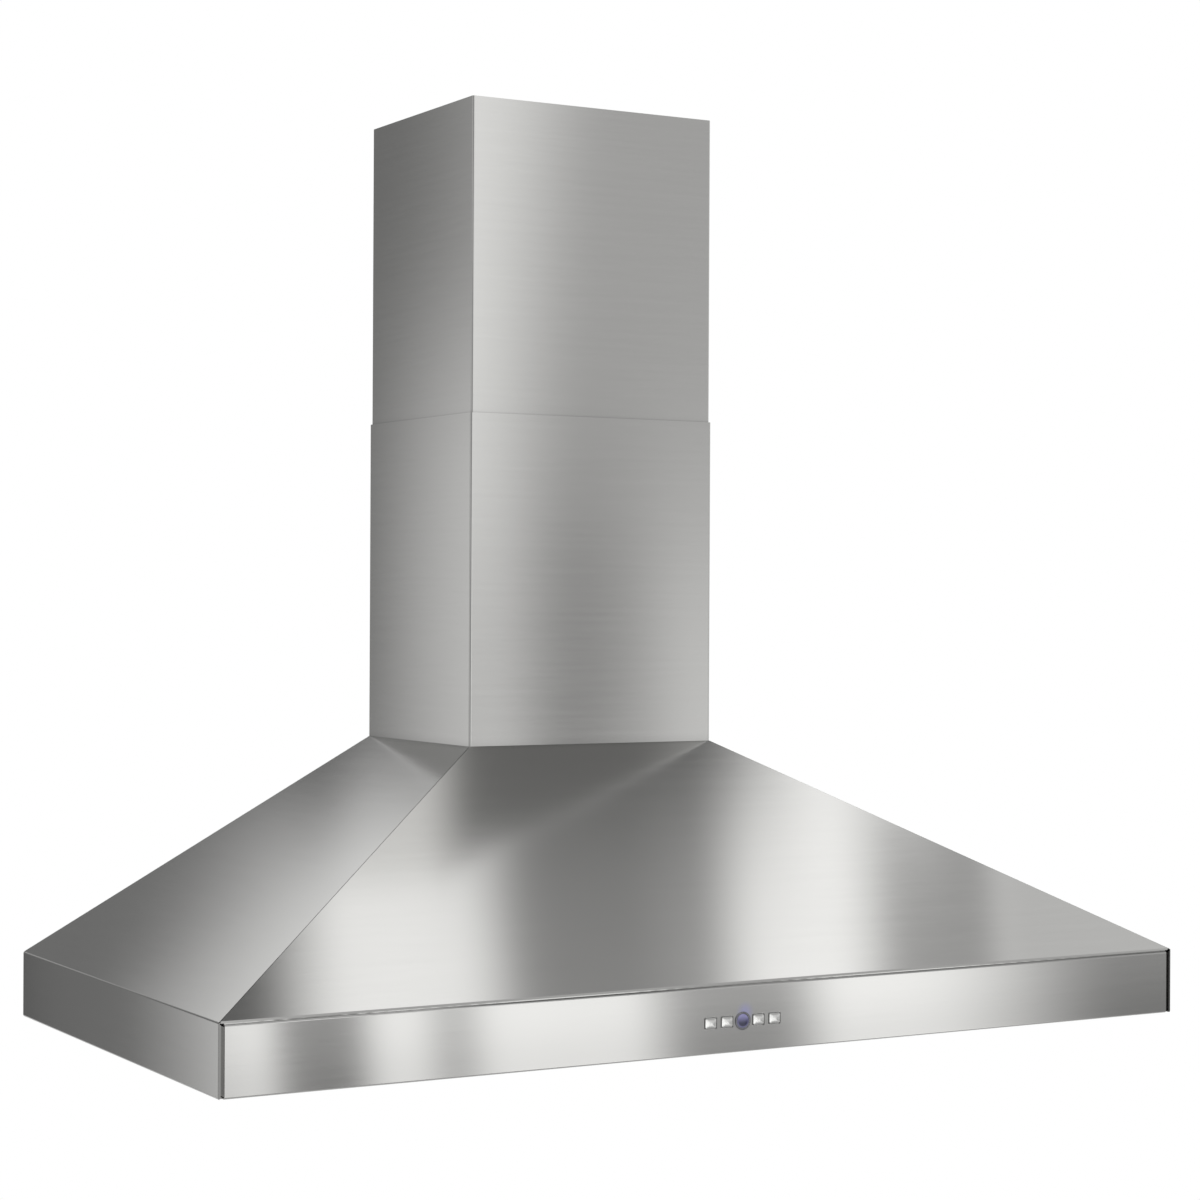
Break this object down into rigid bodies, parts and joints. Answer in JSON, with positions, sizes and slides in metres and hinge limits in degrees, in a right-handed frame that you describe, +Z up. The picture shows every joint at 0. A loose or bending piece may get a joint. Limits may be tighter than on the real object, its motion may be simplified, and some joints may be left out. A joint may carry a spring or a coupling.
{
  "type": "chimney range hood",
  "caption": "Wall-mounted pyramid range hood in brushed stainless steel, with a front control fascia, hinged baffle filters and a telescoping square chimney cover.",
  "frame": {"origin": "middle of the lower edge of the back panel, on the wall plane at the height of the rim", "axes": "+X to the right seen from the room, +Y into the wall, +Z up"},
  "size_m": [1.219, 0.6116, 1.08],
  "materials": {
    "stainless": "brushed stainless steel sheet, grain running along each panel",
    "filter_steel": "plain rolled stainless steel",
    "galvanised": "galvanised steel sheet, dull with a faint spangle",
    "screw_steel": "zinc-plated steel",
    "motor_black": "black enamelled steel shell",
    "black_plastic": "moulded black plastic, fine texture",
    "rubber": "black rubber",
    "chrome": "polished plated rim",
    "button_chrome": "satin plated button cap",
    "lamp_glass": "frosted lamp glass",
    "display_blue": "dark blue lit window",
    "board": "green circuit board"
  },
  "bodies": {
    "hood": {"canopy_front_panel": "stainless", "canopy_left_panel": "stainless", "canopy_right_panel": "stainless", "canopy_back_panel": "stainless", "canopy_top_plate": "galvanised", "hip_seam_strips": "galvanised", "wall_stiffener": "galvanised", "control_fascia": "stainless", "liner_front_strip": "stainless", "liner_left_strip": "stainless", "liner_right_strip": "stainless", "grease_trough": "stainless", "filter_dividers": "stainless", "filter_catches": "screw_steel", "lower_flue_cover": "stainless", "flue_screws": "screw_steel", "duct_collar": "galvanised", "collar_screws": "screw_steel", "damper_pin": "galvanised", "blower_scroll": "galvanised", "blower_left_side": "galvanised", "blower_right_side": "galvanised", "blower_bolts": "screw_steel", "motor": "motor_black", "motor_bracket": "galvanised", "motor_capacitor": "black_plastic", "wiring_box": "galvanised", "wiring_box_cover": "galvanised", "cable_bush": "rubber", "lamp_left_housing": "galvanised", "lamp_left_rim": "chrome", "lamp_left_lens": "lamp_glass", "lamp_right_housing": "galvanised", "lamp_right_rim": "chrome", "lamp_right_lens": "lamp_glass", "control_housing": "black_plastic", "control_board": "board", "display_rim": "chrome", "display_lens": "display_blue"},
    "upper_flue": {"upper_flue_cover": "stainless", "chimney_bracket": "galvanised", "bracket_screws": "screw_steel"},
    "fan": {"blower_wheel": "galvanised", "motor_shaft": "galvanised"},
    "flap_front": {"damper_flap_front": "galvanised"},
    "flap_rear": {"damper_flap_rear": "galvanised"},
    "filter_1": {"filter_1_frame": "filter_steel", "filter_1_baffles": "filter_steel", "filter_1_handle": "filter_steel"},
    "filter_2": {"filter_2_frame": "filter_steel", "filter_2_baffles": "filter_steel", "filter_2_handle": "filter_steel"},
    "filter_3": {"filter_3_frame": "filter_steel", "filter_3_baffles": "filter_steel", "filter_3_handle": "filter_steel"},
    "key_1": {"button_1": "button_chrome"},
    "key_2": {"button_2": "button_chrome"},
    "key_3": {"button_3": "button_chrome"},
    "key_4": {"button_4": "button_chrome"}
  },
  "joints": [
    {"name": "upper_flue_slide", "type": "slide", "parent": "hood", "child": "upper_flue", "axis": [0, 0, 1], "range_m": [-0.29, 0.05]},
    {"name": "fan_spin", "type": "hinge", "parent": "hood", "child": "fan", "pos_m": [0, -0.102, 0.1898], "axis": [1, 0, 0], "continuous": true},
    {"name": "flap_front_swing", "type": "hinge", "parent": "hood", "child": "flap_front", "pos_m": [0, -0.138, 0.3458], "axis": [-1, 0, 0], "range_deg": [0, 75]},
    {"name": "flap_rear_swing", "type": "hinge", "parent": "hood", "child": "flap_rear", "pos_m": [0, -0.138, 0.3458], "axis": [1, 0, 0], "range_deg": [0, 75]},
    {"name": "filter_1_hinge", "type": "hinge", "parent": "hood", "child": "filter_1", "pos_m": [0, -0.1017, 0.028], "axis": [1, 0, 0], "range_deg": [0, 75]},
    {"name": "filter_2_hinge", "type": "hinge", "parent": "hood", "child": "filter_2", "pos_m": [0, -0.1017, 0.028], "axis": [1, 0, 0], "range_deg": [0, 75]},
    {"name": "filter_3_hinge", "type": "hinge", "parent": "hood", "child": "filter_3", "pos_m": [0, -0.1017, 0.028], "axis": [1, 0, 0], "range_deg": [0, 75]},
    {"name": "button_1_press", "type": "slide", "parent": "hood", "child": "key_1", "axis": [0, 1, 0], "range_m": [0, 0.0012], "stiffness_N_per_m": 500, "springref_m": -0.001},
    {"name": "button_2_press", "type": "slide", "parent": "hood", "child": "key_2", "axis": [0, 1, 0], "range_m": [0, 0.0012], "stiffness_N_per_m": 500, "springref_m": -0.001},
    {"name": "button_3_press", "type": "slide", "parent": "hood", "child": "key_3", "axis": [0, 1, 0], "range_m": [0, 0.0012], "stiffness_N_per_m": 500, "springref_m": -0.001},
    {"name": "button_4_press", "type": "slide", "parent": "hood", "child": "key_4", "axis": [0, 1, 0], "range_m": [0, 0.0012], "stiffness_N_per_m": 500, "springref_m": -0.001}
  ]
}
